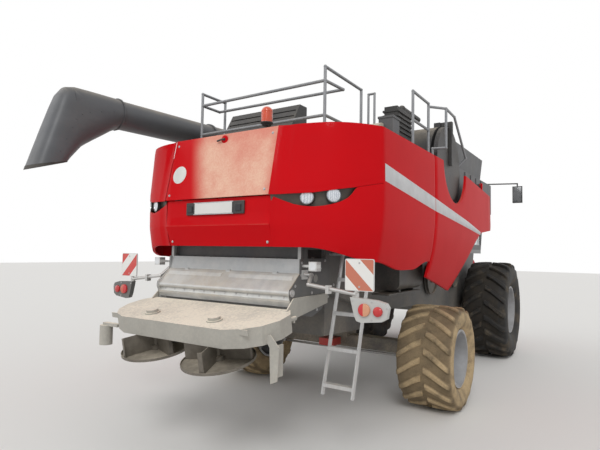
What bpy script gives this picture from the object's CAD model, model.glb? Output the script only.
import math
import bpy
from mathutils import Matrix, Vector


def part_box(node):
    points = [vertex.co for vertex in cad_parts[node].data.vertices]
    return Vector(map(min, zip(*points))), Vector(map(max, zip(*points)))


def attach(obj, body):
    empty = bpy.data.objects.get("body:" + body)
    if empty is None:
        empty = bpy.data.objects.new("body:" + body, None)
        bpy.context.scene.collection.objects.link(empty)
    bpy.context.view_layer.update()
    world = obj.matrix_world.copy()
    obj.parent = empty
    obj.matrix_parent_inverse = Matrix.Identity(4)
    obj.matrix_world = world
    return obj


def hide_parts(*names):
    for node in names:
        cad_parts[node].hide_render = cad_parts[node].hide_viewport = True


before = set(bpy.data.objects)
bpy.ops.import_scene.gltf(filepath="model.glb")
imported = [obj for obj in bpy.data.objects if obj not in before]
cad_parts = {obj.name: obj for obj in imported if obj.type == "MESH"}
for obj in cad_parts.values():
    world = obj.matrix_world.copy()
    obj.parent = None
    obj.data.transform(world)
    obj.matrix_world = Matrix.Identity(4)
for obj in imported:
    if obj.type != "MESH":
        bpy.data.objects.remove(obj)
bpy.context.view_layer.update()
look = {}                      # materials by name, filled in by Paint
print("frame loaded")


# Shader nodes

def mathsOf(operation):
    return lambda wire, *others: wire.nodes.maths(operation, wire, *others)


class Wire:  # an output of a node; an expression on wires adds its own Math nodes
    __add__ = __radd__ = mathsOf("ADD")
    __sub__ = mathsOf("SUBTRACT")
    __mul__ = __rmul__ = mathsOf("MULTIPLY")
    __truediv__ = mathsOf("DIVIDE")
    __gt__ = mathsOf("GREATER_THAN")
    __lt__ = mathsOf("LESS_THAN")
    __abs__ = mathsOf("ABSOLUTE")

    def __init__(self, nodes, socket):
        self.nodes, self.socket = nodes, socket

    def __rsub__(self, other):
        return self.nodes.maths("SUBTRACT", other, self)


class Nodes:  # the node tree of a material or of the world
    def __init__(self, owner):
        owner.use_nodes = True
        self.tree = owner.node_tree
        self.tree.nodes.clear()

    def plug(self, socket, value):
        if isinstance(value, Wire):
            self.tree.links.new(value.socket, socket)
        elif socket.type == "RGBA" and len(value) == 3:
            socket.default_value = (*value, 1)
        else:
            socket.default_value = value

    def node(self, kind, settings=None, sockets=None, output=0):
        node = self.tree.nodes.new(kind)
        for name, value in (settings or {}).items():
            setattr(node, name, value)
        for name, value in (sockets or {}).items():
            self.plug(node.inputs[name], value)
        return Wire(self, node.outputs[output]) if len(node.outputs) else None

    def maths(self, operation, *values):
        return self.node("ShaderNodeMath", {"operation": operation}, dict(enumerate(values)))


class Paint(Nodes):  # a material with one Principled shader
    def __init__(self, name, constants=None):
        look[name] = bpy.data.materials.new(name)
        super().__init__(look[name])
        shader = self.node("ShaderNodeBsdfPrincipled")
        self.shader = shader.socket.node
        self.node("ShaderNodeOutputMaterial", None, {"Surface": shader})
        self.feed(constants or {})

    def feed(self, sockets):
        for name, value in sockets.items():
            self.plug(self.shader.inputs[name], value)

    def surface(self, colour, roughness, height, depth, strength, more=None):
        bump = self.node("ShaderNodeBump", None, {"Height": height, "Distance": depth, "Strength": strength})
        self.feed({"Base Color": colour, "Roughness": roughness, "Normal": bump, **(more or {})})

    def spread(self, value, low, high):  # 0 at low, 1 at high, smooth between
        return self.node("ShaderNodeMapRange", {"interpolation_type": "SMOOTHSTEP"},
                         {"Value": value, "From Min": low, "From Max": high})

    def mix(self, share, first, second):
        return self.node("ShaderNodeMix", {"data_type": "RGBA"}, {0: share, 6: first, 7: second}, 2)

    def place(self, stretch=(1, 1, 1)):
        spot = self.node("ShaderNodeTexCoord", output="Object")
        if stretch == (1, 1, 1):
            return spot
        return self.node("ShaderNodeVectorMath", {"operation": "MULTIPLY"}, {0: spot, 1: stretch})

    def axes(self, vector=None):  # X, Y and Z of a vector, or of the place on the surface
        parts = self.node("ShaderNodeSeparateXYZ", None, {0: vector or self.place()})
        return [Wire(self, s) for s in parts.socket.node.outputs]

    def noise(self, scale, detail, roughness, stretch=(1, 1, 1)):
        return self.node("ShaderNodeTexNoise", None, {
            "Vector": self.place(stretch), "Scale": scale, "Detail": detail, "Roughness": roughness})

    def cloud(self, scale, detail, roughness, low, high):  # noise with its contrast raised
        return self.spread(self.noise(scale, detail, roughness), low, high)

    def cells(self, scale, jitter=1.0):
        return self.node("ShaderNodeTexVoronoi", {"feature": "F1"}, {
            "Vector": self.place(), "Scale": scale, "Randomness": jitter})

    def bands(self, direction, scale, distortion=0.0):
        return self.node("ShaderNodeTexWave", {"wave_type": "BANDS", "bands_direction": direction}, {
            "Vector": self.place(), "Scale": scale, "Distortion": distortion, "Detail": 1.0})


def shade(colour, share):
    return [c * share for c in colour]


dust = {
    "colour": (0.5, 0.42, 0.31),
    "lowest": 0.5, "highest": 2.4,      # dust from the ground thins out between these heights
}


def dustMask(paint, onTop, fromGround, overAll=0.0, even=0.25):
    patches = paint.cloud(2.3, 6, 0.62, 0.3, 0.72)
    specks = paint.cloud(38, 3, 0.6, 0.35, 0.75)
    upward = paint.axes(paint.node("ShaderNodeNewGeometry", output="Normal"))[2]
    lying = paint.spread(upward, 0.35, 0.95) * onTop
    thrown = (1 - paint.spread(paint.axes()[2], dust["lowest"], dust["highest"])) * fromGround
    mask = (lying + thrown + overAll) * (patches * (1 - even) + even) * (specks * 0.35 + 0.65)
    return paint.maths("MINIMUM", mask, 1.0)


def coated(name, colour, roughness, dusty, second=None, metallic=0, coat=0, specular=0.5, grain=6,
           stretch=(1, 1, 1), fine=160, depth=0.0006, dustColour=dust["colour"]):
    gloss = {"Metallic": metallic, "Coat Weight": coat}
    paint = Paint(name, {**gloss, "Coat Roughness": 0.08, "Specular IOR Level": specular})
    streaks = paint.noise(grain, 5, 0.6, stretch)
    base = paint.mix(paint.spread(streaks, 0.25, 0.75), colour, second or shade(colour, 0.82))
    mask = dustMask(paint, *dusty)
    paint.surface(paint.mix(mask, base, dustColour),
                  (streaks - 0.5) * 0.12 + mask * (0.9 - roughness) + roughness,
                  streaks * 0.2 + paint.noise(fine, 2, 0.5), depth, 0.35,
                  {socket: (1 - mask) * share for socket, share in gloss.items() if share})


# Paint, bare or plated metal and moulded plastic: colour, roughness, dust (on top, from the ground,
# over all and how even), and what differs from the usual
finishes = {
    "bodyRed": ((0.58, 0.006, 0.01), 0.34, (0.35, 0.02, 0.0), {
        "second": (0.54, 0.007, 0.011), "coat": 0.05, "specular": 0.015, "grain": 1.6, "depth": 0.0002}),
    "frameGrey": ((0.1, 0.103, 0.107), 0.5, (0.8, 0.35, 0.05), {}),
    "chassisBlack": ((0.045, 0.046, 0.05), 0.48, (0.8, 0.6, 0.08), {}),
    "platedSteel": ((0.52, 0.52, 0.53), 0.36, (0.4, 0.3, 0.05), {
        "metallic": 0.85, "grain": 30, "stretch": (1, 1, 0.2)}),
    "railGrey": ((0.27, 0.28, 0.3), 0.42, (0.6, 0.15, 0.12), {
        "metallic": 0.45, "dustColour": (0.62, 0.57, 0.47), "grain": 24}),
    "tankGrey": ((0.075, 0.078, 0.086), 0.5, (0.6, 0.2, 0.08), {}),
    "engineGrey": ((0.11, 0.115, 0.12), 0.62, (0.9, 0.3, 0.15), {"depth": 0.0012}),
    "darkPlastic": ((0.028, 0.029, 0.032), 0.52, (0.55, 0.3, 0.06), {"fine": 420, "depth": 0.0005}),
    "deckGrey": ((0.2, 0.205, 0.21), 0.55, (0.9, 0.2, 0.1), {}),
    "augerGrey": ((0.085, 0.09, 0.1), 0.44, (0.55, 0.1, 0.05), {"grain": 5, "stretch": (1, 0.25, 1)}),
    "cabDark": ((0.035, 0.036, 0.04), 0.42, (0.5, 0.1, 0.03), {}),
    "roofLight": ((0.58, 0.58, 0.55), 0.45, (0.55, 0.0, 0.05), {}),
    "cabTrim": ((0.055, 0.057, 0.062), 0.75, (0.2, 0.0, 0.02), {"fine": 700, "depth": 0.0008}),
    "chromeRod": ((0.72, 0.73, 0.75), 0.12, (0.1, 0.1, 0.0), {"metallic": 1.0}),
    "knifeSteel": ((0.3, 0.3, 0.29), 0.45, (0.6, 0.5, 0.15), {"metallic": 0.75}),
    "spreaderPaint": ((0.29, 0.285, 0.265), 0.5, (1.15, 0.25, 0.1, 0.62), {
        "second": (0.34, 0.335, 0.31), "specular": 0.3, "dustColour": (0.86, 0.79, 0.66)}),
    "rotorSteel": ((0.13, 0.115, 0.095), 0.5, (0.85, 0.0, 0.03), {
        "second": (0.2, 0.18, 0.15), "metallic": 0.3, "dustColour": (0.6, 0.53, 0.42), "grain": 12}),
    "ladderAluminium": ((0.62, 0.63, 0.64), 0.4, (0.3, 0.25, 0.04), {
        "metallic": 0.7, "grain": 40, "stretch": (1, 1, 0.1)}),
    "hitchRed": ((0.55, 0.02, 0.02), 0.5, (0.5, 0.15, 0.05), {}),
    "bandSilver": ((0.52, 0.52, 0.53), 0.35, (0.2, 0.05, 0.02), {"metallic": 0.3}),
    "rubberBlack": ((0.02, 0.02, 0.021), 0.7, (0.5, 0.5, 0.1), {}),
    "plateWhite": ((0.72, 0.72, 0.7), 0.3, (0.2, 0.06, 0.03), {"second": (0.68, 0.68, 0.66)}),
    "orangePaint": ((0.62, 0.16, 0.02), 0.45, (0.5, 0.3, 0.05), {}),
    "recessPlastic": ((0.055, 0.052, 0.042), 0.38, (0.7, 0.0, 0.12), {}),
    "smokedLens": ((0.03, 0.03, 0.034), 0.16, (0.4, 0.1, 0.02), {"coat": 0.2, "specular": 0.2}),
    "whitePlastic": ((0.7, 0.71, 0.7), 0.35, (0.4, 0.1, 0.05), {}),
    "mirrorGlass": ((0.8, 0.82, 0.84), 0.03, (0.1, 0.0, 0.03), {"metallic": 1.0}),
}
for name, (colour, roughness, dusty, more) in finishes.items():
    coated(name, colour, roughness, dusty, **more)

wheels = {"front": {"y": 2.8, "radius": 0.915}, "rear": {"y": -1.1, "radius": 0.65}}

tyreRubber = {
    "colour": (0.028, 0.027, 0.026), "shoulder": (1.66, 1.62),      # where the front tread ends
    "front": {"dust": (0.19, 0.15, 0.102), "groove": (0.03, 0.025, 0.019), "amount": 0.35, "foot": 0.868,
              "crown": 0.905},
    "rear": {"dust": (0.58, 0.435, 0.255), "groove": (0.15, 0.112, 0.068), "amount": 0.95, "foot": 0.612,
             "crown": 0.64},
}
rimPaint = {"colour": (0.52, 0.53, 0.55), "grime": (0.13, 0.115, 0.095), "shares": (0.55, 0.4),
            "front": (0.425, 0.345, 0.225, 0.175), "rear": (0.342, 0.275, 0.17, 0.125)}     # its rings


def fromAxle(paint, end):
    x, y, z = paint.axes()
    ahead, up = y - wheels[end]["y"], z - wheels[end]["radius"]
    return paint.maths("SQRT", ahead * ahead + up * up)


def rubber(end):  # caked dust on the lugs, darker in the grooves
    dusty, groove, amount, foot, crown = tyreRubber[end].values()
    paint = Paint(end + "Rubber", {"Specular IOR Level": 0.2})
    radius = fromAxle(paint, end)
    deep = paint.spread(radius, crown, foot) * paint.spread(radius, foot - 0.05, foot - 0.01)
    if end == "front":
        deep = deep * paint.spread(abs(paint.axes()[0]), *tyreRubber["shoulder"])
    caked = paint.cloud(5, 6, 0.65, 0.6 - amount * 0.5, 1.02 - amount * 0.4) * (1 - deep * 0.35)
    fine = paint.noise(90, 4, 0.6)
    tone = paint.mix(paint.spread(fine, 0.3, 0.7), dusty, shade(dusty, 0.72))
    worn = paint.mix(caked * 0.92, tyreRubber["colour"], tone)
    paint.surface(paint.mix(deep * 0.6, worn, groove), caked * 0.28 + 0.62,
                  fine + paint.noise(420, 2, 0.5) * 0.4, 0.0022, 0.6)


def wheelPaint(end):  # silver enamel with old grime in its rings and round its hub
    paint = Paint(end + "Rim", {"Metallic": 0.12, "Specular IOR Level": 0.3})
    radius = fromAxle(paint, end)
    cloud = paint.cloud(7, 5, 0.6, 0.2, 0.8)
    grime = cloud * 0.12
    for k, ring in enumerate(rimPaint[end]):
        grime = grime + paint.spread(abs(radius - ring), 0.02, 0.003) * rimPaint["shares"][k % 2]
    grime = paint.maths("MINIMUM", grime * (cloud * 0.4 + 0.7), 0.85)
    tone = paint.mix(grime, rimPaint["colour"], rimPaint["grime"])
    paint.surface(tone, grime * 0.4 + 0.36, cloud, 0.0004, 0.3)


for end in wheels:
    rubber(end)
    wheelPaint(end)

screenMesh = {"colour": (0.05, 0.05, 0.055), "hole": (0.006, 0.006, 0.006), "pitch": 90}


def meshScreen():
    paint = Paint("screenMesh", {"Metallic": 0.3})
    hole = 1 - paint.spread(paint.cells(screenMesh["pitch"], 0.15), 0.25, 0.42)
    mask = dustMask(paint, 0.3, 0.1, 0.25)
    metal = paint.mix(mask, screenMesh["colour"], shade(dust["colour"], 0.6))
    paint.surface(paint.mix(hole, metal, screenMesh["hole"]), mask * 0.3 + 0.5, 1 - hole, 0.002, 0.8)


deckTread = {"colour": (0.19, 0.195, 0.2), "worn": (0.34, 0.34, 0.34), "pitch": 9.0}


def treadPlate():
    paint = Paint("treadPlate", {"Metallic": 0.4})
    along, across = (paint.bands(axis, deckTread["pitch"]) for axis in "XY")
    raised = paint.spread(along * across, 0.55, 0.8)
    mask = dustMask(paint, 0.85, 0.1, 0.1)
    base = paint.mix(raised, deckTread["colour"], deckTread["worn"])
    tone = paint.mix(mask * (1 - raised * 0.5), base, dust["colour"])
    paint.surface(tone, mask * 0.4 + 0.42, raised, 0.002, 0.7)


cabTint = (0.62, 0.72, 0.72)


def tintedGlass():
    paint = Paint("cabGlass", {"Base Color": cabTint, "Transmission Weight": 1.0, "IOR": 1.45})
    paint.feed({"Roughness": paint.cloud(7, 5, 0.6, 0.45, 0.8) * 0.1 + 0.02})     # smears


lenses = {"redLens": ((0.62, 0.02, 0.02), 28), "beaconLens": ((0.78, 0.075, 0.012), 28),
          "whiteLens": ((0.82, 0.84, 0.86), 34)}     # colour and pitch of the ribs


def ribbedLenses():
    for name, (colour, pitch) in lenses.items():
        paint = Paint(name, {"Coat Weight": 0.6, "Coat Roughness": 0.05})
        ribs = paint.bands("Z", pitch)
        share = ribs * 0.45 + paint.cloud(12, 3, 0.55, 0.3, 0.7) * 0.2
        paint.surface(paint.mix(share, colour, shade(colour, 0.5)), ribs * 0.12 + 0.14, ribs, 0.0012, 0.5)


tailLens = {"red": (0.62, 0.015, 0.02), "dark": (0.25, 0.02, 0.02), "left": (0.6, 0.09, 0.03),
            "right": (0.72, 0.36, 0.2), "edge": 1.628, "pitch": 30.0}


def twoToneLens():  # tail lamp, red inside; amber outside, faded at the right
    paint = Paint("tailLens", {"Coat Weight": 0.6, "Coat Roughness": 0.05})
    x, y, z = paint.axes()
    ribs = paint.bands("Z", tailLens["pitch"])
    amber = paint.mix(x > 0.0, tailLens["left"], tailLens["right"])
    tone = paint.mix(abs(x) > tailLens["edge"], tailLens["red"], amber)
    paint.surface(paint.mix(ribs * 0.3, tone, tailLens["dark"]), ribs * 0.1 + 0.15, ribs, 0.001, 0.5)


headLens = {"bright": (0.92, 0.94, 0.96), "deep": (0.42, 0.46, 0.52), "pitch": 95.0}


def clearLens():  # cut glass over a bright reflector
    paint = Paint("headLens", {"Metallic": 0.35, "Coat Weight": 1.0, "Coat Roughness": 0.03})
    cells = paint.cells(headLens["pitch"], 0.25)
    tone = paint.mix(paint.spread(cells, 0.2, 0.6), headLens["bright"], headLens["deep"])
    paint.surface(tone, cells * 0.15 + 0.12, cells, 0.0015, 0.7)


markerBoard = {"red": (0.6, 0.02, 0.02), "white": (0.8, 0.8, 0.78), "faded": (0.52, 0.21, 0.12),
               "stripe": 0.1, "x": 1.573, "y": -3.5762, "z": 1.772, "half": 0.141}


def stripes():  # slanting red and white; the right board has faded
    paint = Paint("markerStripes", {"Coat Weight": 0.3, "Coat Roughness": 0.2})
    x, y, z = paint.axes()
    slant = (abs(x) + z - (markerBoard["x"] + markerBoard["z"])) / math.sqrt(2)
    red = paint.maths("FRACT", slant / (markerBoard["stripe"] * 2) + 10) > 0.5
    worn = paint.cloud(11, 6, 0.7, 0.5, 0.75) * 0.3 + (x > 0.0) * 0.7
    tone = paint.mix(red, markerBoard["white"], paint.mix(worn, markerBoard["red"], markerBoard["faded"]))
    mask = dustMask(paint, 0.2, 0.1, 0.08)
    paint.surface(paint.mix(mask, tone, dust["colour"]), worn * 0.2 + 0.3, paint.cells(420.0), 0.0004, 0.5)


lampArm = {"plateX": 1.475, "plateZ": 1.57, "left": (0.1, 0.105, 0.11), "right": (0.5, 0.51, 0.5),
           "zinc": ((0.5, 0.5, 0.5), (0.62, 0.62, 0.61))}


def armPaint():  # plated pipe; the lamp plates are light grey at the right and dark at the left
    paint = Paint("armPaint")
    x, y, z = paint.axes()
    cover = (abs(x) > lampArm["plateX"]) * (z < lampArm["plateZ"])
    plate = paint.mix(x > 0.0, lampArm["left"], lampArm["right"])
    grain = paint.noise(24, 4, 0.6)
    tone = paint.mix(cover, paint.mix(grain, *lampArm["zinc"]), plate)
    mask = dustMask(paint, 0.5, 0.2, 0.06)
    paint.surface(paint.mix(mask, tone, dust["colour"]), mask * 0.4 + 0.36, grain, 0.0006, 0.4,
                  {"Metallic": (1 - cover) * 0.7})


cloth = {"colour": (0.055, 0.058, 0.065), "thread": 620}


def seatCloth():
    paint = Paint("seatCloth", {"Sheen Weight": 0.35, "Sheen Roughness": 0.5, "Specular IOR Level": 0.2})
    weave = paint.bands("X", cloth["thread"] / 6, 0.6) * paint.bands("DIAGONAL", cloth["thread"] / 6, 0.6)
    worn = paint.cloud(9, 5, 0.6, 0.45, 0.75)
    tone = paint.mix(weave * 0.6 + worn * 0.25, cloth["colour"], shade(cloth["colour"], 2.4))
    paint.surface(tone, worn * 0.1 + 0.82, weave + paint.noise(300, 2, 0.5) * 0.5, 0.0012, 0.6)


sunnyPanel = {"colour": (0.58, 0.006, 0.01), "dust": (0.9, 0.7, 0.52), "film": (-0.42, -0.12),
              "middleZ": 2.85, "top": (3.19, 3.02), "sides": (0.712, 0.6)}


def dustyRed():  # the upper rear panel: a film of pale dust over most of its width
    paint = Paint("dustyRed", {"Coat Roughness": 0.1, "Specular IOR Level": 0.05})
    x, y, z = paint.axes()
    film = paint.spread(x + (z - sunnyPanel["middleZ"]) * 0.25, *sunnyPanel["film"])
    patches, specks = paint.cloud(2.6, 6, 0.6, 0.22, 0.72), paint.cloud(60, 3, 0.6, 0.3, 0.75)
    edge = paint.spread(z, *sunnyPanel["top"]) * paint.spread(abs(x), *sunnyPanel["sides"])
    share = film * (patches * 0.36 + 0.5) * (specks * 0.2 + 0.8) * (edge * 0.35 + 0.65)
    tone = paint.mix(share, sunnyPanel["colour"], sunnyPanel["dust"])
    paint.surface(tone, share * 0.5 + 0.34, specks, 0.0002, 0.3, {"Coat Weight": (1 - share) * 0.05})


chopperPaint = {"sheet": (0.5, 0.51, 0.51), "second": (0.64, 0.64, 0.62), "beam": (0.13, 0.15, 0.18),
                "side": (0.075, 0.078, 0.082), "sideX": 0.9062, "beamZ": (1.735, 1.765)}


def chopperSheet():  # bright zinc between its dark painted side plates
    paint = Paint("chopperPaint")
    x, y, z = paint.axes()
    side = abs(x) > chopperPaint["sideX"]
    cloud = paint.cloud(9, 5, 0.6, 0.25, 0.75)
    zinc = paint.mix(cloud, chopperPaint["sheet"], chopperPaint["second"])
    zinc = paint.mix(paint.spread(z, *chopperPaint["beamZ"]) * 0.45, zinc, chopperPaint["beam"])
    tone = paint.mix(side, zinc, chopperPaint["side"])
    mask = dustMask(paint, 0.9, 0.0, 0.1)
    paint.surface(paint.mix(mask, tone, dust["colour"]), mask * 0.4 + cloud * 0.08 + 0.36, cloud, 0.0006, 0.3,
                  {"Metallic": (1 - side) * (1 - mask) * 0.45})


deckBox = {"dark": (0.095, 0.1, 0.11), "cream": (0.6, 0.56, 0.46), "between": -2.44}


def boxPaint():  # a dust-covered sloping box, and a dark one ahead of it
    paint = Paint("boxPaint", {"Specular IOR Level": 0.3})
    cloud = paint.cloud(7, 5, 0.6, 0.25, 0.75)
    cream = paint.mix(cloud, deckBox["cream"], shade(deckBox["cream"], 0.85))
    tone = paint.mix(paint.axes()[1] > deckBox["between"], cream, deckBox["dark"])
    mask = dustMask(paint, 0.75, 0.0, 0.1)
    paint.surface(paint.mix(mask, tone, dust["colour"]), mask * 0.3 + 0.5, cloud, 0.0005, 0.3)


for mixPaint in (meshScreen, treadPlate, tintedGlass, ribbedLenses, twoToneLens, clearLens, stripes, armPaint,
                 seatCloth, dustyRed, chopperSheet, boxPaint):
    mixPaint()
print("materials ready")

# The CAD nodes of each finish; the rest are dark plastic, or hidden behind a piece that stands for them
nodeFinish = {
    "frameGrey": "main_frame sieve_box", "bodyRed": "feeder_house", "platedSteel": "tie_rod cab_ladder",
    "chassisBlack": "front_axle rear_axle knuckle_right knuckle_left lift_barrels drive_pulleys",
    "frontRim": "rim_front_right rim_front_left", "rearRim": "rim_rear_right rim_rear_left",
    "tankGrey": "grain_tank tank_extension", "engineGrey": "engine_block", "screenMesh": "radiator_screen",
    "treadPlate": "engine_deck cab_platform", "railGrey": "deck_rails", "augerGrey": "auger_turret auger_tube",
    "cabDark": "cab_frame cab_door", "roofLight": "cab_roof", "cabGlass": "cab_glass door_glass",
    "cabTrim": "cab_interior", "knifeSteel": "feeder_chain chopper_rotor", "chromeRod": "lift_rods",
    "chopperPaint": "chopper", "spreaderPaint": "spreader_deck", "hitchRed": "tow_hitch",
    "rotorSteel": "spreader_rotor_right spreader_rotor_left", "ladderAluminium": "rear_ladder",
    "armPaint": "lamp_arms", "boxPaint": "deck_boxes",
}
finishOf = {name: finish for finish, names in nodeFinish.items() for name in names.split()}
for name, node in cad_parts.items():
    node.data.materials.clear()
    node.data.materials.append(look[finishOf.get(name, "darkPlastic")])


# Mesh helpers

def added(name, data):
    made = bpy.data.objects.new(name, data)
    bpy.context.scene.collection.objects.link(made)
    return made


def piece(name, verts, faces, finish, slot, body="root", smooth=40, bevel=0.0, standsFor=()):
    mesh = bpy.data.meshes.new(name)
    mesh.from_pydata([tuple(v) for v in verts], [], faces)
    mesh.validate()
    made = added(name, mesh)
    mesh.materials.append(look[finish])
    mesh.shade_smooth()
    mesh.set_sharp_from_angle(angle=math.radians(smooth))
    if bevel:
        edge = made.modifiers.new("edge", "BEVEL")
        edge.width, edge.segments, edge.limit_method, edge.angle_limit = bevel, 2, "ANGLE", math.radians(35)
        made.modifiers.new("normals", "WEIGHTED_NORMAL").keep_sharp = True
    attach(made, body)
    if standsFor:
        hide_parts(*standsFor)
    return made


def circle(steps):
    return [(math.cos(a), math.sin(a)) for a in (2 * math.pi * k / steps for k in range(steps))]


class Shape:  # gathers vertices and faces of one piece
    def __init__(self):
        self.verts, self.faces = [], []

    def grid(self, rows, closed=False, flip=False):
        start, wide = len(self.verts), len(rows[0])
        self.verts += [tuple(p) for row in rows for p in row]
        for i in range(len(rows) - 1):
            for j in range(wide if closed else wide - 1):
                a, b = start + i * wide + j, start + i * wide + (j + 1) % wide
                quad = (a, b, b + wide, a + wide)
                self.faces.append(quad[::-1] if flip else quad)
        return start

    def slab(self, outer, inner, flip=False):  # two grids and the rim between them
        n, m = len(outer), len(outer[0])
        self.grid(outer, flip=flip)
        self.grid(inner, flip=not flip)
        ring = [(0, j) for j in range(m)] + [(i, m - 1) for i in range(1, n)]
        ring += [(n - 1, j) for j in range(m - 2, -1, -1)] + [(i, 0) for i in range(n - 2, 0, -1)]
        self.grid([[outer[i][j] for i, j in ring], [inner[i][j] for i, j in ring]], closed=True, flip=not flip)

    def solid(self, rows):  # rings with a face at each end
        start, wide = self.grid(rows, closed=True), len(rows[0])
        end = len(self.verts)
        self.faces += [tuple(range(start + wide - 1, start - 1, -1)), tuple(range(end - wide, end))]

    def lathe(self, profile, centre, axis, steps=48):  # the profile is of radius and height
        turn = Vector((0, 0, 1)).rotation_difference(Vector(axis)).to_matrix()
        self.grid([[Vector(centre) + turn @ Vector((r * c, r * s, h)) for c, s in circle(steps)]
                   for r, h in profile], closed=True)

    def box(self, low, high):
        (x0, y0, z0), (x1, y1, z1) = low, high
        start = len(self.verts)
        self.verts += [(x, y, z) for z in (z0, z1) for x, y in ((x0, y0), (x1, y0), (x1, y1), (x0, y1))]
        self.faces += [tuple(start + i for i in f) for f in (
            (3, 2, 1, 0), (4, 5, 6, 7), (0, 1, 5, 4), (1, 2, 6, 5), (2, 3, 7, 6), (3, 0, 4, 7))]

    def tube(self, points, radius, steps=12):
        points = [Vector(p) for p in points]
        rows, side = [], None
        for i, p in enumerate(points):
            ahead = (points[min(i + 1, len(points) - 1)] - points[max(i - 1, 0)]).normalized()
            side = (ahead.orthogonal() if side is None else side - ahead * side.dot(ahead)).normalized()
            up = ahead.cross(side)
            rows.append([p + radius * (side * c + up * s) for c, s in circle(steps)])
        self.solid(rows)

    def plate(self, centre, half, radius, y0, y1):  # upright, with round corners
        outline = []
        for qx, qz, start in ((1, 1, 0), (-1, 1, 90), (-1, -1, 180), (1, -1, 270)):
            for k in range(7):
                a = math.radians(start + k * 15)
                outline.append((centre[0] + qx * (half[0] - radius) + radius * math.cos(a),
                                centre[1] + qz * (half[1] - radius) + radius * math.sin(a)))
        self.solid([[(x, y, z) for x, z in outline] for y in (y1, y0)])

    def bolt(self, at, axis, size=0.009, height=0.007):
        for steps, profile in ((16, ((1.5, 0), (1.5, 0.25), (1.35, 0.32), (0, 0.32))),      # washer and head
                               (6, ((1, 0.3), (1, 0.9), (0.85, 1), (0, 1)))):
            self.lathe([(size * r, height * h) for r, h in profile], at, axis, steps)

    def make(self, name, finish, slot, **more):
        return piece(name, self.verts, self.faces, finish, slot, **more)


rearward, upward = (0, -1, 0), (0, 0, 1)


def mirrorX(rows):
    return [[(-x, y, z) for x, y, z in row] for row in rows]


def mix(a, b, t):
    return a + (b - a) * t


def lookup(x, table):
    for (x0, y0), (x1, y1) in zip(table, table[1:]):
        if x <= x1:
            return mix(y0, y1, max(0, (x - x0) / (x1 - x0)))
    return table[-1][1]


# Red hood round the rear, from the same outline as its CAD panels

hood = {
    "rearY": -1.1, "topZ": 3.2, "splitZ": 2.505, "creaseZ": 2.22, "lowZ": 2.01, "skirt": 0.225, "reach": 2.69,
    "corner": 2.01, "seam": 0.42, "hatchX": 0.715, "panelX": 1.6, "panelT": 0.036, "lean": 0.145, "tuck": 0.09,
    "bulge": 0.15, "roll": 0.095, "arch": 0.56, "archRise": 0.09, "columns": 56, "gap": 0.0034, "edge": 0.004,
    # the joint between the skins climbs to the corner, and the lower skin leaves room for the headlamps
    "split": [(0, 0), (0.37, 0.015), (0.73, 0.075), (1, 0.14)],
    "lamps": [(0, 2.502), (0.04, 2.484), (0.12, 2.448), (0.2, 2.414), (0.28, 2.396), (0.36, 2.39),
              (0.44, 2.396), (0.52, 2.412), (0.6, 2.44), (0.66, 2.476), (0.7, 2.516), (0.735, 2.574)],
}
cornerY = hood["rearY"] - hood["corner"]
seamY = hood["rearY"] - hood["seam"]
skirtZ = hood["lowZ"] - hood["skirt"]


def ease(t):
    return t * t * (3 - 2 * t)


def faceY(z):
    back = hood["rearY"] - hood["reach"]
    if z >= hood["splitZ"]:
        return back + hood["lean"] * (z - hood["splitZ"]) / (hood["topZ"] - hood["splitZ"])
    return back + 0.03 + 0.06 * max(0, (hood["creaseZ"] - z) / (hood["creaseZ"] - hood["lowZ"]))


def cornerX(z):
    if z >= hood["splitZ"]:
        return hood["panelX"] - 0.01 * (z - hood["splitZ"]) / (hood["topZ"] - hood["splitZ"])
    return hood["panelX"] - hood["tuck"] * ((hood["splitZ"] - z) / (hood["splitZ"] - skirtZ)) ** 2


def hoodXY(s, z, d):  # s is 0 at the hatch, 1 at the corner and 2 at the seam; d is the depth below the skin
    if s > 1:
        return cornerX(z) - d, mix(cornerY, seamY, s - 1)
    x0, y0, x1, y1 = hood["hatchX"] + 0.0003, faceY(z), cornerX(z), cornerY
    size = math.hypot(x1 - x0, y1 - y0)
    out = (hood["bulge"] * math.sin(math.pi * s ** 1.15) - d) * min(1, s * 6) / size
    return mix(x0, x1, s) + (y1 - y0) * out, mix(y0, y1, s) - (x1 - x0) * out


def lowEdge(s):
    if s <= 1:
        return hood["lowZ"] - (hood["lowZ"] - skirtZ - hood["roll"]) * ease(max(0, (s - 0.3) / 0.7))
    arch = max(0, (mix(cornerY, seamY, s - 1) - (seamY - hood["arch"])) / hood["arch"])
    roll = hood["roll"] * (1 - ease(min(1, (s - 1) * 2.2)))
    return skirtZ + roll + hood["archRise"] * ease(min(1, arch * 1.25))


def splitLine(s):
    return hood["splitZ"] + lookup(s, hood["split"])


def lampEdge(s):
    return splitLine(s) - 0.0035 if s >= 0.74 else lookup(s, hood["lamps"])


def topEdge(s):
    return hood["topZ"]


def hoodSheets(low, high, rows, start, end):
    stations = [mix(start, end, k / hood["columns"]) for k in range(hood["columns"] + 1)]
    outer, inner = [], []
    for k in range(rows + 1):
        t = k / rows
        rolled = hood["edge"] * max(0, 1 - min(t, 1 - t) * rows) ** 2     # edges rolled in a little
        line = [(s, mix(low(s), high(s), t)) for s in stations]
        outer.append([(*hoodXY(s, z, rolled + (hood["edge"] if s in (start, end) else 0) + 0.001), z)
                      for s, z in line])
        inner.append([(*hoodXY(s, z, hood["panelT"] - 0.001), z) for s, z in line])
    return outer, inner


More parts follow.
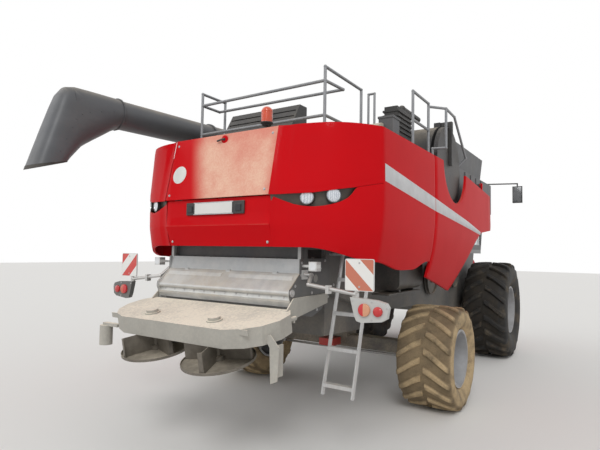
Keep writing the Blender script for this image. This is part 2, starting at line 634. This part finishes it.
def buildHood():
    gap = hood["gap"] / 2
    for name, low, high, rows, start, end, nodes in (
            ("hood_upper_skin", splitLine, topEdge, 10, 0, 1 - gap, ["hood_upper"]),
            ("hood_lower_skin", lowEdge, lampEdge, 14, 0, 1 - gap, ["hood_lower"]),
            ("hood_side_skin", lowEdge, topEdge, 22, 1 + gap, 2, ["hood_upper", "hood_lower"])):
        shape = Shape()
        outer, inner = hoodSheets(low, high, rows, start, end)
        shape.slab(outer, inner)
        shape.slab(mirrorX(outer), mirrorX(inner), flip=True)
        shape.make(name, "bodyRed", "body_red", smooth=50, standsFor=nodes)


buildHood()
print("hood built")

rearPanel = {
    # height where the face is taken, height of the row, and how far inwards it lies
    "upper": [(2.505, 2.508, 0), (2.56, 2.56, 0), (2.85, 2.85, 0), (3.14, 3.14, 0), (3.2, 3.199, 0.001)],
    "lower": [(2.01, 2.011, 0.001), (2.12, 2.12, 0), (2.214, 2.214, -0.018), (2.22, 2.22, -0.0185),
              (2.232, 2.232, -0.006), (2.36, 2.36, 0), (2.499, 2.499, 0)],
    "screws": [(x, z) for z in (2.56, 3.13, 2.055) for x in (-0.66, 0.66)], "latch": (0.03, 3.135),
    "edge": 0.012, "roll": 0.005,
}


def buildRearPanels():
    x1, edge = hood["hatchX"] - 0.0003, rearPanel["edge"]
    xs = [-x1] + [mix(edge - x1, x1 - edge, k / 20) for k in range(21)] + [x1]
    for name, finish in (("upper", "dustyRed"), ("lower", "bodyRed")):
        line = [(faceY(z) + inwards, rowZ) for z, rowZ, inwards in rearPanel[name]]
        ends = (line[0], line[-1])
        outer = [[(x, row[0] + (rearPanel["roll"] if abs(x) > x1 - edge / 2 or row in ends else 0), row[1])
                  for x in xs] for row in line]
        inner = [[(x, y + hood["panelT"] - 0.002, z) for x in xs] for y, z in line]
        shape = Shape()
        shape.slab(outer, inner)
        shape.make("rear_%s_panel" % name, finish, "body_red", smooth=50, standsFor=["rear_panels"])
    screws, latch, lever = Shape(), Shape(), Shape()
    for x, z in rearPanel["screws"]:
        screws.bolt((x, faceY(z) - 0.0005, z), rearward, 0.009, 0.008)
    screws.make("panel_screws", "platedSteel", "plated_steel")
    x, z = rearPanel["latch"]
    y = faceY(z) - 0.008
    latch.lathe([(0.045, 0), (0.045, 0.004), (0.04, 0.007), (0, 0.007)], (x, y + 0.007, z), rearward, 32)
    latch.make("latch_plate", "bodyRed", "body_red")
    lever.tube([(x, y, z), (x, y - 0.016, z)], 0.014)
    lever.tube([(x + 0.015, y - 0.014, z + 0.003), (x - 0.03, y - 0.02, z - 0.003),
                (x - 0.085, y - 0.018, z - 0.013)], 0.01)
    lever.make("latch_lever", "darkPlastic", "dark_plastic")


buildRearPanels()

sidePanel = {
    "frontY": 1.6, "notchZ": 3.24, "notchR": 0.56, "frontTopZ": 3.01, "rows": 18,
    "low": [(0, 1.68), (1.2, 1.44), (1.62, 1.8), (2.05, 2.14), (2.4, 2.33), (3.12, 2.4)],
    "hinges": (0.16, 0.42), "hingeZ": 0.024, "lug": (0.0125, 0.0235, 0.0195),     # bore, outside, half length
}


def topZ(y, notched, notchY):
    plain = mix(hood["topZ"], sidePanel["frontTopZ"], max(0, (y - notchY) / (sidePanel["frontY"] - notchY)))
    d = abs(y - notchY)
    if notched and d < sidePanel["notchR"]:
        return min(plain, sidePanel["notchZ"] - math.sqrt(sidePanel["notchR"] ** 2 - d * d))
    return plain


def buildSidePanel(name, side, notched):
    low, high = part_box("radiator_screen")
    notchY, r = mix(low[1], high[1], 0.5), sidePanel["notchR"]
    y0, y1 = seamY + 0.006, sidePanel["frontY"]
    columns = [y0 + 0.001, y0 + 0.006, y0 + 0.12, y0 + 0.2, notchY - r, notchY + r, y1 - 0.001]
    columns += [notchY + r * math.sin(math.radians(a)) for a in range(-87, 90, 3)]
    columns += [mix(notchY + r, y1 - 0.006, k / 10) for k in range(1, 11)]
    columns.sort()
    outer, inner = [], []
    for k in range(sidePanel["rows"] + 1):
        line = [(y, mix(lookup(y - y0, sidePanel["low"]), topZ(y, notched, notchY), k / sidePanel["rows"]))
                for y in columns]
        ends = columns if k in (0, sidePanel["rows"]) else (columns[0], columns[-1])
        outer.append([(cornerX(z) - 0.0005 - (hood["edge"] if y in ends else 0), y, z) for y, z in line])
        inner.append([(cornerX(z) - hood["panelT"] + 0.001, y, z) for y, z in line])
    if side < 0:
        outer, inner = mirrorX(outer), mirrorX(inner)
    shape = Shape()
    shape.slab(outer, inner, flip=side < 0)
    inside, hingeX = (side * (hood["panelX"] - d) for d in (0.046, 0.07))
    bore, r, half = sidePanel["lug"]
    for y in (seamY + sidePanel["hinges"][0], y1 - sidePanel["hinges"][1]):
        shape.box((min(hingeX, inside), y - 0.02, hood["topZ"] - 0.16),
                  (max(hingeX, inside), y + 0.02, hood["topZ"] - 0.006))
        shape.lathe([(bore, -half), (r, -half), (r, half), (bore, half)],
                    (hingeX, y, hood["topZ"] - sidePanel["hingeZ"]), (0, 1, 0), 24)
    shape.make(name + "_skin", "bodyRed", "body_red", body=name, smooth=50, standsFor=[name])


buildSidePanel("side_panel_right", 1, True)
buildSidePanel("side_panel_left", -1, False)
print("side panels built")

# Silver band along the side, on the corner and the side panel
band = {"low": [(-3.1, 2.672), (-1.526, 2.5), (0.05, 2.365), (0.85, 2.292)],
        "high": [(-3.1, 2.845), (-1.526, 2.66), (0.05, 2.465), (0.85, 2.345)], "proud": 0.0012}


def buildBand(name, y0, y1, body, side):
    rows = []
    for t in (0, 0.02, 0.5, 0.98, 1):
        row = []
        for k in range(25):
            y = mix(y0, y1, k / 24)
            z = mix(lookup(y, band["low"]), lookup(y, band["high"]), t)
            proud = band["proud"] if 0 < t < 1 else 0
            row.append((side * (cornerX(z) - 0.0009 + proud), y, z))
        rows.append(row)
    shape = Shape()
    shape.grid(rows, flip=side < 0)
    shape.make(name, "bandSilver", "body_red", body=body, smooth=60)


for side, label in ((1, "right"), (-1, "left")):
    buildBand("band_rear_" + label, cornerY + 0.03, seamY - 0.004, "root", side)
    buildBand("band_side_" + label, seamY + 0.011, band["low"][-1][0], "side_panel_" + label, side)
print("band built")

# Tyres: a smooth carcass with swept lugs, standing for the faceted CAD ones
tyres = {
    "front": {"width": 0.8, "rim": 0.44, "lug": 0.045, "count": 20},
    "rear": {"width": 0.7, "rim": 0.355, "lug": 0.028, "count": 18},
    "sweep": 0.92, "wide": 0.36, "start": 0.28,
    # each station of a lug: part of the width, drop from the crown, how far it lags, height
    "stations": [(0.02, 0.0, 0.02, 0), (0.035, 0.0, 0.035, 1), (0.16, 0.0, 0.26, 1), (0.3, 0.012, 0.6, 1),
                 (0.4, 0.03, 0.84, 1), (0.438, 0.055, 0.93, 1), (0.462, 0.105, 0.97, 1),
                 (0.48, 0.175, 1.0, 0.25)],
    "across": [(-0.62, 0.0), (-0.4, 0.82), (-0.3, 1.0), (0.3, 1.0), (0.4, 0.82), (0.62, 0.0)],
}


def buildTyre(end, label):
    node, body = "tyre_%s_%s" % (end, label), "wheel_%s_%s" % (end, label)
    low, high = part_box(node)
    centre = (low + high) / 2
    w, rim, lug, n = tyres[end].values()
    r = wheels[end]["radius"]
    s, root = r - rim, r - lug
    profile = [(rim - 0.01, -0.36), (rim + 0.012, -0.395), (rim + s * 0.2, -0.455), (rim + s * 0.45, -0.4975),
               (rim + s * 0.62, -0.492), (rim + s * 0.76, -0.474), (root - s * 0.075, -0.445),
               (root - s * 0.03, -0.38), (root - s * 0.01, -0.22), (root - 0.002, 0)]
    profile += [(q, -x) for q, x in reversed(profile[:-1])]
    shape = Shape()
    shape.lathe([(q, x * w) for q, x in profile], centre, (1, 0, 0), 96)
    shape.lathe([(rim - 0.01, 0.36 * w), (rim - 0.011, -0.36 * w)], centre, (1, 0, 0), 96)
    for side in (-1, 1):
        for k in range(n):
            rows = []
            first = k + tyres["start"] + (0 if side > 0 else 0.5)
            for x, drop, lag, rise in tyres["stations"]:
                foot = r - s * drop - 0.0005 - lug * 1.15
                line = []
                for a, h in tyres["across"]:
                    angle = (first + lag * tyres["sweep"] + a * tyres["wide"]) * 2 * math.pi / n
                    q = foot + lug * 1.15 * h * rise
                    line.append(centre + Vector((side * x * w, q * math.cos(angle), q * math.sin(angle))))
                rows.append(line)
            shape.grid(rows, flip=side > 0)
            last = len(shape.verts)
            shape.verts += [tuple(p) for p in rows[-1]]
            cap = tuple(range(last, last + len(line)))
            shape.faces.append(cap if side < 0 else cap[::-1])
    shape.make(node + "_rubber", end + "Rubber", "tyre", body=body, smooth=42, standsFor=[node])


for end in wheels:
    for label in ("right", "left"):
        buildTyre(end, label)
print("tyres built")

# Blank number plate on its holder with two lamps, and the blank round plate
plate = {
    "z": 2.4, "round": (-0.56, 2.79), "radius": 0.1,
    # finish, slot, bevel, and boxes by left, right, rear, front, foot and top, from the plate's place
    "plate_holder": ("darkPlastic", "dark_plastic", 0.006, [(-0.39, 0.41, -0.02, 0.002, -0.066, 0.066)]),
    "plate_trim": ("platedSteel", "plated_steel", 0, [(-0.275, 0.275, -0.0235, -0.0195, 0.056, 0.064),
                                                      (-0.275, 0.275, -0.0235, -0.0195, -0.064, -0.056)]),
    "plate_blank": ("plateWhite", "dark_plastic", 0.002, [(-0.26, 0.26, -0.025, -0.0205, -0.055, 0.055)]),
    "plate_lamps": ("smokedLens", "lamp_lens", 0.008, [(-0.365, -0.295, -0.03, -0.0205, -0.04, 0.03),
                                                       (0.305, 0.375, -0.03, -0.0205, -0.04, 0.03)]),
}


def buildPlate():
    y, z = faceY(plate["z"]), plate["z"]
    for name in ("plate_holder", "plate_trim", "plate_blank", "plate_lamps"):
        finish, slot, bevel, boxes = plate[name]
        shape = Shape()
        for x0, x1, y0, y1, z0, z1 in boxes:
            shape.box((x0, y + y0, z + z0), (x1, y + y1, z + z1))
        shape.make(name, finish, slot, bevel=bevel)
    shape, (x, z), r = Shape(), plate["round"], plate["radius"]
    lean = Vector((0, -1, hood["lean"] / (hood["topZ"] - hood["splitZ"]))).normalized()
    shape.lathe([(r, 0.0), (r, 0.0015), (r - 0.002, 0.0025), (0.0, 0.0025)], (x, faceY(z), z), lean, 64)
    shape.make("round_plate", "plateWhite", "body_red")


buildPlate()
print("plates built")

# Headlamps in the hood's recess, tail lamps on the arms and the beacon on the deck
lamps = {
    "stations": ((0.31, 2.478), (0.54, 2.498)), "radius": 0.074, "tailY": -3.5903,
    "tail": ((1.633, 1.473, 0.056, "tailLens"), (1.76, 1.467, 0.042, "redLens")),
    "beacon": (0.45, -3.489, 3.1503), "dome": 0.06,
    "base": [(0.014, 0), (0.014, 0.108), (0.04, 0.11), (0.058, 0.134), (0.068, 0.14), (0.068, 0.149),
             (0.055, 0.152), (0, 0.152)],
}


def atHood(s, z, side):  # a point on the hood and the way it faces there
    x, y = hoodXY(s, z, 0)
    ahead, behind = hoodXY(s + 0.02, z, 0), hoodXY(s - 0.02, z, 0)
    along = Vector((ahead[0] - behind[0], ahead[1] - behind[1])).normalized()
    return Vector((side * x, y, z)), Vector((side * along.y, -along.x, 0))


def buildLamps():
    r = lamps["radius"]
    for name, finish, profile in (
            ("headlamp_bezels", "darkPlastic",
             [(r, -0.052), (r, -0.01), (r - 0.003, -0.0065), (r - 0.008, -0.008), (r - 0.009, -0.016)]),
            ("headlamp_rings", "chromeRod",
             [(r - 0.009, -0.016), (r - 0.0092, -0.0095), (r - 0.0112, -0.0085), (r - 0.013, -0.015)]),
            ("headlamp_glass", "headLens",
             [(r - 0.0128, -0.016), (r - 0.015, -0.0115), (r * 0.5, -0.0085), (0.0, -0.0078)])):
        shape = Shape()
        for side in (1, -1):
            for s, z in lamps["stations"]:
                shape.lathe(profile, *atHood(s, z, side))
        shape.make(name, finish, "lamp_lens", standsFor=["lamps"])
    for k, (x, z, r, finish) in enumerate(lamps["tail"]):
        shape = Shape()
        for side in (1, -1):
            shape.lathe([(r, 0), (r, 0.017), (r - 0.004, 0.022), (r * 0.5, 0.0255), (0, 0.026)],
                        (side * x, lamps["tailY"], z), rearward)
        shape.make("tail_lens_%d" % k, finish, "lamp_lens", standsFor=["lamps"])
    base, dome, r = Shape(), Shape(), lamps["dome"]
    base.lathe(lamps["base"], lamps["beacon"], upward)
    base.make("beacon_base", "darkPlastic", "dark_plastic", standsFor=["lamps"])
    profile = [(r, 0.1495)]
    for k in range(9):                               # ribs round the dome
        profile += [(r, 0.154 + k * 0.012), (r - 0.0025, 0.16 + k * 0.012)]
    profile += [(r * c, 0.259 + (r - 0.0002) * s) for c, s in circle(40)[:10]]
    dome.lathe(profile + [(0, 0.319)], lamps["beacon"], upward)
    dome.make("beacon_dome", "beaconLens", "lamp_lens", smooth=60, standsFor=["lamps"])


buildLamps()

recess = {"rows": [(2.3, 0.02), (2.42, 0.026), (2.53, 0.026), (2.6, 0.014), (2.665, 0.0015)],
          "thick": 0.012, "from": 0.012, "to": 0.86, "columns": 30}


def buildRecess():
    shape = Shape()
    stations = [mix(recess["from"], recess["to"], k / recess["columns"]) for k in range(recess["columns"] + 1)]
    outer, inner = ([[(*hoodXY(s, z, hood["panelT"] + inset + deeper), z) for s in stations]
                     for z, inset in recess["rows"]] for deeper in (0, recess["thick"]))
    shape.slab(outer, inner)
    shape.slab(mirrorX(outer), mirrorX(inner), flip=True)
    shape.make("lamp_recess_shell", "recessPlastic", "dark_plastic", smooth=60, standsFor=["lamp_recess"])


buildRecess()
print("lamps built")

# Marker boards, work lamps and the screws of the lamp plates
workLamp = {"at": (1.08, 1.83), "case": ((0.0445, 0.0445), 0.032, -3.5625, -3.4815),
            "lens": ((0.036, 0.036), 0.026, -3.5645, -3.5615)}
armScrews = {"y": -3.5905, "at": ((1.515, 1.545), (1.7, 1.545), (1.838, 1.5), (1.7, 1.39)), "board": 0.105}


def buildBoards():
    boards, rims, work, workLens, screws = (Shape() for k in range(5))
    half, y = markerBoard["half"], markerBoard["y"]
    for side in (1, -1):
        at = (side * markerBoard["x"], markerBoard["z"])
        boards.plate(at, (half - 0.006, half - 0.006), 0.014, y - 0.0012, y + 0.001)
        rims.plate(at, (half, half), 0.018, y - 0.0004, y + 0.012)
        at = (side * workLamp["at"][0], workLamp["at"][1])
        work.plate(at, *workLamp["case"])
        workLens.plate(at, *workLamp["lens"])
    boards.make("marker_boards", "markerStripes", "galvanised")
    rims.make("marker_board_rims", "whitePlastic", "galvanised")
    work.make("work_lamps", "whitePlastic", "lamp_lens", bevel=0.003)
    workLens.make("work_lamp_glass", "whiteLens", "lamp_lens")
    spots = [(x, armScrews["y"], z) for x, z in armScrews["at"]]
    spots += [(markerBoard["x"], y - 0.001, markerBoard["z"] + side * armScrews["board"]) for side in (1, -1)]
    for side in (1, -1):
        for x, backY, z in spots:
            screws.bolt((side * x, backY, z), rearward, 0.006, 0.004)
    screws.make("arm_screws", "platedSteel", "plated_steel")


buildBoards()
print("marker boards built")

# Chute of the auger: a smooth hooded form in place of the flat-sided solid
chute = {
    "elbow": (-1.55689, 2.16575, 3.78057), "toe": -1.5, "drop": 1.45, "wall": 0.008, "half": 0.188,
    "collar": 0.187, "collarY": (-5.93, -5.915), "bolts": 16,
    "top": [(-5.925, 0.187), (-6.12, 0.188), (-6.33, 0.189), (-6.5, 0.186), (-6.6, 0.16), (-6.665, 0.07),
            (-6.72, -0.08), (-6.8, -0.31), (-6.88, -0.55), (-6.968, -0.815)],
    "low": [(-5.925, -0.187), (-6.02, -0.235), (-6.14, -0.315), (-6.25, -0.385), (-6.34, -0.445),
            (-6.41, -0.495), (-6.455, -0.545), (-6.5, -0.595), (-6.545, -0.645), (-6.585, -0.695)],
}


def alongAuger(p):
    toe = Matrix.Rotation(math.radians(chute["toe"]), 3, "Z")
    drop = Matrix.Rotation(math.radians(chute["drop"]), 3, "X")
    return Vector(chute["elbow"]) + toe @ drop @ Vector(p)


def chuteRing(k, inset):
    (ty, tz), (ly, lz) = chute["top"][k], chute["low"][k]
    cy, cz = (ty + ly) / 2, (tz + lz) / 2
    whole = math.hypot(ty - ly, tz - lz) / 2
    uy, uz = (ty - cy) / whole, (tz - cz) / whole
    power = 2 / (2 + 0.16 * min(k, 6))           # rounder where it leaves the tube
    ring = []
    for c, s in circle(48):
        x = (chute["half"] - inset) * math.copysign(abs(c) ** power, c)
        h = (whole - inset) * math.copysign(abs(s) ** power, s)
        ring.append(alongAuger((x, cy + uy * h, cz + uz * h)))
    return ring


def buildChute():
    rides = {"body": "unloading_auger", "standsFor": ["auger_spout"]}
    shell, lip, collar = Shape(), Shape(), Shape()
    n = len(chute["top"])
    inner = [chuteRing(k, chute["wall"]) for k in range(n - 1, -1, -1)]
    shell.grid([chuteRing(k, 0) for k in range(n)] + inner, closed=True, flip=True)
    shell.make("chute_shell", "augerGrey", "auger_grey", smooth=50, **rides)
    rings = []
    for inset in (-0.003, 0.011):                    # outside and inside of the lip
        end, back = chuteRing(n - 1, inset), chuteRing(n - 2, inset)
        short = [p.lerp(q, 0.18) for p, q in zip(end, back)]
        rings += [short, end] if inset < 0 else [end, short]
    lip.grid(rings, closed=True, flip=True)
    lip.make("chute_lip", "rubberBlack", "auger_grey", smooth=50, **rides)
    r, (y0, y1) = chute["collar"], chute["collarY"]
    collar.grid([[alongAuger((q * c, y, q * s)) for c, s in circle(64)]
                 for y, q in ((y0, r - 0.001), (y0, r + 0.012), (y1, r + 0.012), (y1, r - 0.004))], closed=True)
    ahead = alongAuger((0, 1, 0)) - alongAuger((0, 0, 0))
    for j in range(chute["bolts"]):
        a = 2 * math.pi * (j + 0.5) / chute["bolts"]
        at = alongAuger(((r + 0.006) * math.cos(a), y1 + 0.0005, (r + 0.006) * math.sin(a)))
        collar.bolt(at, ahead, 0.006, 0.006)
    for k in range(1, n - 1):                        # bolts down both flanks
        for j in (0, 24):
            p, q = chuteRing(k, 0)[j], chuteRing(k, 0.01)[j]
            collar.bolt(p, p - q, 0.006, 0.005)
    collar.make("chute_collar", "augerGrey", "auger_grey", **rides)


buildChute()
print("chute built")

# Driver's place: cushions over the base that carries them
driverPlace = {
    "at": (-0.24, 2.99, 2.1303), "hinge": (0.01, 0.005, 0.42), "lean": 8, "channel": 0.014,
    # low and high corner, crown, pull of the sides, edge radius, fill, sewn channels and their depth
    "pad": ((0.006, 0.004, 0.306), (0.474, 0.496, 0.436), 0.012, 0.01, 0.045, 0.6, (-0.06, 0.1), 0.008),
    "back": ((0.006, 0.01, 0.01), (0.454, 0.112, 0.57), 0.01, 0.006, 0.03, 0.6, (-0.13, 0.02, 0.16), 0.007),
    "headrest": ((0.104, 0.026, 0.584), (0.336, 0.104, 0.734), 0.01, 0.006, 0.02964, 0.6, (), 0),
    "arm_0": ((-0.048, 0.027, 0.522), (0.003, 0.398, 0.578), 0.003, 0.002, 0.018, 0.8, (), 0),
    "arm_1": ((0.477, 0.027, 0.522), (0.528, 0.398, 0.578), 0.003, 0.002, 0.018, 0.8, (), 0),
}


def cushionForm(size, crown, pull, radius, cells=12):
    half = Vector(size) / 2
    verts, faces, seen = [], [], {}
    ticks = [math.sin(math.pi / 2 * (2 * k / cells - 1)) for k in range(cells + 1)]

    def point(u):
        core = Vector([u[i] * (half[i] - radius) for i in range(3)])
        out = Vector([u[i] if abs(u[i]) > 0.999 else 0 for i in range(3)])
        p = core + out.normalized() * radius
        x, y, z = (1 - t ** 2 for t in u)
        p.z += crown * x * y * (1 if u[2] > 0 else -0.25) * abs(u[2])
        p.x -= pull * out.x * y * z
        p.y -= pull * out.y * x * z
        return p

    for axis in range(3):
        a, b = (axis + 1) % 3, (axis + 2) % 3
        for sign in (-1, 1):
            for i in range(cells):
                for j in range(cells):
                    quad = []
                    for di, dj in ((0, 0), (1, 0), (1, 1), (0, 1)):
                        u = [0, 0, 0]
                        u[axis], u[a], u[b] = sign, ticks[i + di], ticks[j + dj]
                        key = tuple(round(t, 5) for t in u)
                        if key not in seen:
                            seen[key] = len(verts)
                            verts.append(point(u))
                        quad.append(seen[key])
                    faces.append(tuple(quad if sign > 0 else quad[::-1]))
    return verts, faces


def buildCushion(name, leaning):  # a leaning one is crowned on its face and turned with the back
    low, high, crown, pull, radius, fill, channels, depth = driverPlace[name]
    wide, deep, tall = (b - a for a, b in zip(low, high))
    verts, faces = cushionForm((wide, tall, deep) if leaning else (wide, deep, tall), crown, pull, radius)
    for channel in channels:
        for v in verts:
            if v.z > 0:
                v.z -= depth * math.exp(-((v.y - channel) / driverPlace["channel"]) ** 2)
    corner, middle = Vector(driverPlace["at"]), Vector([(b + a) / 2 for a, b in zip(low, high)])
    if leaning:
        corner += Vector(driverPlace["hinge"])
        turn = Matrix.Rotation(math.radians(driverPlace["lean"]), 3, "X")
        verts = [turn @ (middle + Vector((-v.x, v.z, v.y))) for v in verts]
    else:
        verts = [middle + v for v in verts]
    made = piece("seat_" + name, [corner + v for v in verts], faces, "seatCloth", "seat_cloth", smooth=80,
                 standsFor=["driver_seat"])


def buildDriverPlace():
    for name in ("pad", "back", "headrest", "arm_0", "arm_1"):
        buildCushion(name, name in ("back", "headrest"))
    base = Shape()
    x, y, z = driverPlace["at"]
    boxes = [(0.07, 0.06, 0, 0.41, 0.4, 0.045), (0.05, 0.04, 0.283, 0.43, 0.44, 0.3065)]
    boxes += [(ax, 0.165, 0.42, ax + 0.04, 0.215, 0.524) for ax in (-0.035, 0.475)]
    for k in range(7):                               # bellows of the air suspension
        inset, foot = 0.018 if k % 2 else 0.002, 0.045 + k * 0.034
        boxes.append((0.075 + inset, 0.065 + inset, foot, 0.405 - inset, 0.395 - inset, foot + 0.034))
    for x0, y0, z0, x1, y1, z1 in boxes:
        base.box((x + x0, y + y0, z + z0), (x + x1, y + y1, z + z1))
    for dx in (0.17, 0.31):                          # posts of the headrest
        base.tube([(x + dx, y - 0.035, z + 0.96), (x + dx, y - 0.052, z + 1.03)], 0.008)
    base.make("seat_base", "cabTrim", "cab_trim", bevel=0.004, standsFor=["driver_seat"])


buildDriverPlace()
print("driver's place built")

# Wheel nuts, hub caps and valves
hubs = {"front": {"x": 1.48, "ring": 0.14, "nuts": 10, "cap": 0.085, "valve": 0.3, "finish": "chassisBlack"},
        "rear": {"x": 1.57, "ring": 0.095, "nuts": 8, "cap": 0.055, "valve": 0.22, "finish": "frameGrey"}}


def buildHub(end, label, side):
    x, ring, nutCount, r, valveY, finish = hubs[end].values()
    at, out = Vector((side * x, wheels[end]["y"], wheels[end]["radius"])), (side, 0, 0)
    name, body = "_%s_%s" % (end, label), "wheel_%s_%s" % (end, label)
    nuts, cap, disc, valve = (Shape() for k in range(4))
    for c, s in circle(nutCount):
        nuts.bolt(at + Vector((0, ring * c, ring * s)), out, 0.013, 0.024)
    nuts.make("wheel_nuts" + name, "platedSteel", "plated_steel", body=body)
    cap.lathe([(r, 0), (r, 0.03), (r - 0.008, 0.04), (r * 0.62, 0.046), (r * 0.55, 0.04), (0, 0.04)],
              at, out, 40)
    cap.make("hub_cap" + name, finish, "rim_silver", body=body)
    disc.lathe([(r * 0.5, 0.0405), (r * 0.46, 0.044), (0, 0.045)], at, out, 32)
    disc.make("hub_disc" + name, "orangePaint", "rim_silver", body=body)
    valve.tube([at + Vector((side * dx, valveY, 0.05)) for dx in (-0.02, 0.035)], 0.006)
    valve.make("tyre_valve" + name, "rubberBlack", "tyre", body=body)


for end in hubs:
    for side, label in ((1, "right"), (-1, "left")):
        buildHub(end, label, side)
print("hubs built")

# Chopper: pivots at the ends of the round lip, bolts and rivets, curtain and flap
chopper = {
    "lip": (0.915, -3.657, 1.575), "rivets": (0.82, -3.649, 1.53, 12),
    "pivot": [(0.036, -0.001), (0.036, 0.01), (0.03, 0.013), (0.018, 0.013), (0.018, 0.022), (0, 0.022)],
    "bolts": ((-3.49, 1.86), (-3.36, 1.86), (-3.5, 1.74), (-3.6, 1.64), (-3.56, 1.5), (-3.42, 1.4),
              (-3.2, 1.385), (-2.98, 1.5), (-2.86, 1.62), (-3.05, 1.88), (-3.3, 1.56), (-3.14, 1.8)),
    "curtain": ((-0.868, -3.432, 1.9), (0.868, -3.426, 2.088)),
    "flap": ((-0.86, -3.598, 1.398), (0.86, -3.59, 1.443)),
}


def buildChopperTrim():
    trim, curtain, flap = Shape(), Shape(), Shape()
    x, y, z = chopper["lip"]
    for side in (1, -1):
        out = (side, 0, 0)
        trim.lathe(chopper["pivot"], (side * x, y, z), out, 32)
        for boltY, boltZ in chopper["bolts"]:
            trim.bolt((side * x, boltY, boltZ), out, 0.01, 0.008)
    x, y, z, n = chopper["rivets"]
    for k in range(n):
        trim.bolt((mix(-x, x, k / (n - 1)), y, z), (0, -1, 0.28), 0.007, 0.005)
    trim.make("chopper_bolts", "platedSteel", "plated_steel")
    curtain.box(*chopper["curtain"])
    curtain.make("chopper_curtain", "tankGrey", "tank_grey")
    flap.box(*chopper["flap"])
    flap.make("ledge_flap", "deckGrey", "galvanised")


buildChopperTrim()
print("chopper trim built")

# Mirrors' glass and the roof lamps' lenses
cab = {"mirror": (1.64, 3.325), "mirrorHalf": (0.085, 0.17), "mirrorY": 4.14,
       "lampX": (-0.76, -0.54, 0.54, 0.76), "lampY": 4.2385, "lampZ": 3.535, "lampHalf": (0.062, 0.036)}


def buildGlassFaces():
    glass, lens = Shape(), Shape()
    x, z = cab["mirror"]
    for side in (1, -1):
        glass.plate((side * x, z), cab["mirrorHalf"], 0.02, cab["mirrorY"] - 0.002, cab["mirrorY"] + 0.001)
    glass.make("mirror_glass", "mirrorGlass", "dark_plastic")
    for x in cab["lampX"]:
        lens.plate((x, cab["lampZ"]), cab["lampHalf"], 0.015, cab["lampY"], cab["lampY"] + 0.0035)
    lens.make("roof_lamp_glass", "headLens", "lamp_lens")


buildGlassFaces()
print("glass faces built")

camera = {"place": (3.458, -7.4, 1.965), "ahead": (-0.5489, 0.834, 0.056), "up": (0.0163, -0.0562, 0.9983),
          "lens": 28.82, "sensor": 36}


def placeCamera():
    data = bpy.data.cameras.new("camera")
    made = added("camera", data)
    ahead, up = Vector(camera["ahead"]).normalized(), Vector(camera["up"])
    right = ahead.cross(up).normalized()
    turn = Matrix((right, right.cross(ahead), -ahead)).transposed().to_4x4()
    made.matrix_world = Matrix.Translation(camera["place"]) @ turn
    data.lens, data.sensor_width = camera["lens"], camera["sensor"]
    bpy.context.scene.camera = made


placeCamera()

studio = {"floor": (0.78, 0.77, 0.75), "sky": 0.62, "size": 60,
          "suns": {"key": (1.15, 25, (-0.35, 0.75, -0.75)), "fill": (0.35, 60, (0.8, 0.4, -0.5))}}


def lightStudio():
    size = studio["size"]
    mesh = bpy.data.meshes.new("floor")
    corners = [(x * size, y * size, 0) for x, y in ((-1, -1), (1, -1), (1, 1), (-1, 1))]
    mesh.from_pydata(corners, [], [(0, 1, 2, 3)])
    Paint("studioFloor", {"Roughness": 0.9, "Base Color": studio["floor"]})
    mesh.materials.append(look["studioFloor"])
    added("floor", mesh)
    world = bpy.data.worlds.new("studio")
    bpy.context.scene.world = world
    nodes = Nodes(world)
    direct, glossy, through = (nodes.node("ShaderNodeLightPath", output="Is %s Ray" % kind)
                               for kind in ("Camera", "Glossy", "Transmission"))
    seen = nodes.maths("MAXIMUM", nodes.maths("MAXIMUM", direct, glossy), through)
    back = nodes.node("ShaderNodeBackground", None, {
        "Color": (1, 1, 1), "Strength": seen * (1 - studio["sky"]) + studio["sky"]})
    nodes.node("ShaderNodeOutputWorld", None, {"Surface": back})
    for name, (power, spread, ahead) in studio["suns"].items():
        sun = bpy.data.lights.new(name, "SUN")
        sun.energy, sun.angle = power, math.radians(spread)
        added(name, sun).rotation_euler = Vector(ahead).to_track_quat("-Z", "Y").to_euler()


lightStudio()
bpy.context.scene.view_settings.view_transform = "Standard"
print("studio lit")
